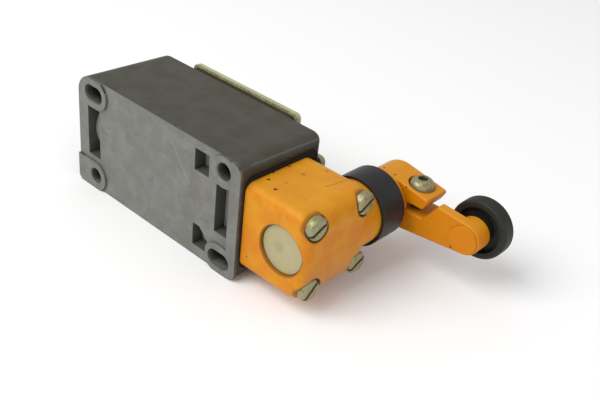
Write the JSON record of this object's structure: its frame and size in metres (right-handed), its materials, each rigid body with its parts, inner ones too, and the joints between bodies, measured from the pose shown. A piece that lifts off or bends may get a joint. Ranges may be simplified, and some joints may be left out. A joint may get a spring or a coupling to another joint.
{
  "type": "roller lever limit switch",
  "caption": "Metal-bodied position switch with a turnable square head, a side lever with roller, a screwed cover and a moulded snap-in contact block with bridge contacts",
  "frame": {"origin": "centre of the four-hole fixing pattern, on the plane of the mounting pads", "axes": "+X along the body towards the head and lever, +Y out of the mounting face towards the cover and along the lever shaft, +Z across the body, up as the switch lies on its side"},
  "size_m": [0.1308, 0.0611, 0.0396],
  "materials": {
    "body_paint": "satin grey-green lacquer over die-cast zinc, worn bare on the mounting face",
    "cover_paint": "cream lacquer",
    "orange_paint": "orange lacquer, chipped at edges",
    "zinc_yellow": "yellow chromated zinc plating",
    "bright_steel": "ground steel",
    "spring_steel": "drawn wire",
    "bronze": "sintered bronze",
    "contact_brass": "stamped and bright",
    "silver_tip": "silver, slightly dull",
    "gasket_rubber": "matt",
    "black_plastic": "satin moulded",
    "block_plastic": "brown thermoset, satin",
    "carrier_plastic": "natural moulded"
  },
  "bodies": {
    "body": {"block_cover": "carrier_plastic", "block_screws": "zinc_yellow", "break_contact_strips": "contact_brass", "contact_block": "block_plastic", "cover": "cover_paint", "cover_gasket": "gasket_rubber", "cover_screws": "zinc_yellow", "earth_clamp": "zinc_yellow", "earth_screw": "zinc_yellow", "fixed_tips": "silver_tip", "front_bush": "bronze", "head": "orange_paint", "head_gasket": "gasket_rubber", "head_screws": "zinc_yellow", "housing": "body_paint", "make_contact_strips": "contact_brass", "rear_bearing": "bronze", "rear_cap": "zinc_yellow", "shaft_seal": "gasket_rubber", "tappet_guide": "bronze", "terminal_clamps": "zinc_yellow", "terminal_screws": "zinc_yellow"},
    "cam": {"cam_sleeve": "bright_steel", "cam_spring": "spring_steel"},
    "lever": {"shaft": "bright_steel", "driver": "bright_steel", "driver_pin": "bright_steel", "centring_spring": "spring_steel", "dust_collar": "black_plastic", "lever_arm": "orange_paint", "clamp_screw": "zinc_yellow", "roller_pin": "bright_steel", "roller_washer": "bright_steel"},
    "roller_body": {"roller": "black_plastic", "roller_bush": "bronze"},
    "tappet_body": {"tappet": "bright_steel"},
    "carrier_body": {"contact_carrier": "carrier_plastic", "break_bridge": "contact_brass", "make_bridge": "contact_brass", "bridge_tips": "silver_tip", "bridge_springs": "spring_steel", "return_spring": "spring_steel"}
  },
  "joints": [
    {"name": "cam_turn", "type": "hinge", "parent": "body", "child": "cam", "pos_m": [0.0522, 0.01585, 0], "axis": [0, -1, 0], "range_deg": [0, 75], "stiffness_Nm_per_rad": 0.12, "springref_deg": -20.05, "deforming": ["cam_spring"]},
    {"name": "lever_swing", "type": "hinge", "parent": "cam", "child": "lever", "pos_m": [0.0522, 0.01585, 0], "axis": [0, -1, 0], "range_deg": [-75, 0], "stiffness_Nm_per_rad": 0.12, "springref_deg": 20.05, "deforming": ["centring_spring"]},
    {"name": "roller_spin", "type": "hinge", "parent": "lever", "child": "roller_body", "pos_m": [0.0822, 0.0575, 0], "axis": [0, 1, 0], "continuous": true},
    {"name": "tappet_slide", "type": "slide", "parent": "body", "child": "tappet_body", "axis": [-1, 0, 0], "range_m": [0, 0.0028]},
    {"name": "carrier_slide", "type": "slide", "parent": "body", "child": "carrier_body", "axis": [-1, 0, 0], "range_m": [0, 0.0028], "deforming": ["return_spring"]}
  ],
  "couplings": [
    {"joint": "cam_turn", "follows": "tappet_slide", "rad_per_m": 467.5},
    {"joint": "carrier_slide", "follows": "tappet_slide", "ratio": 1}
  ]
}
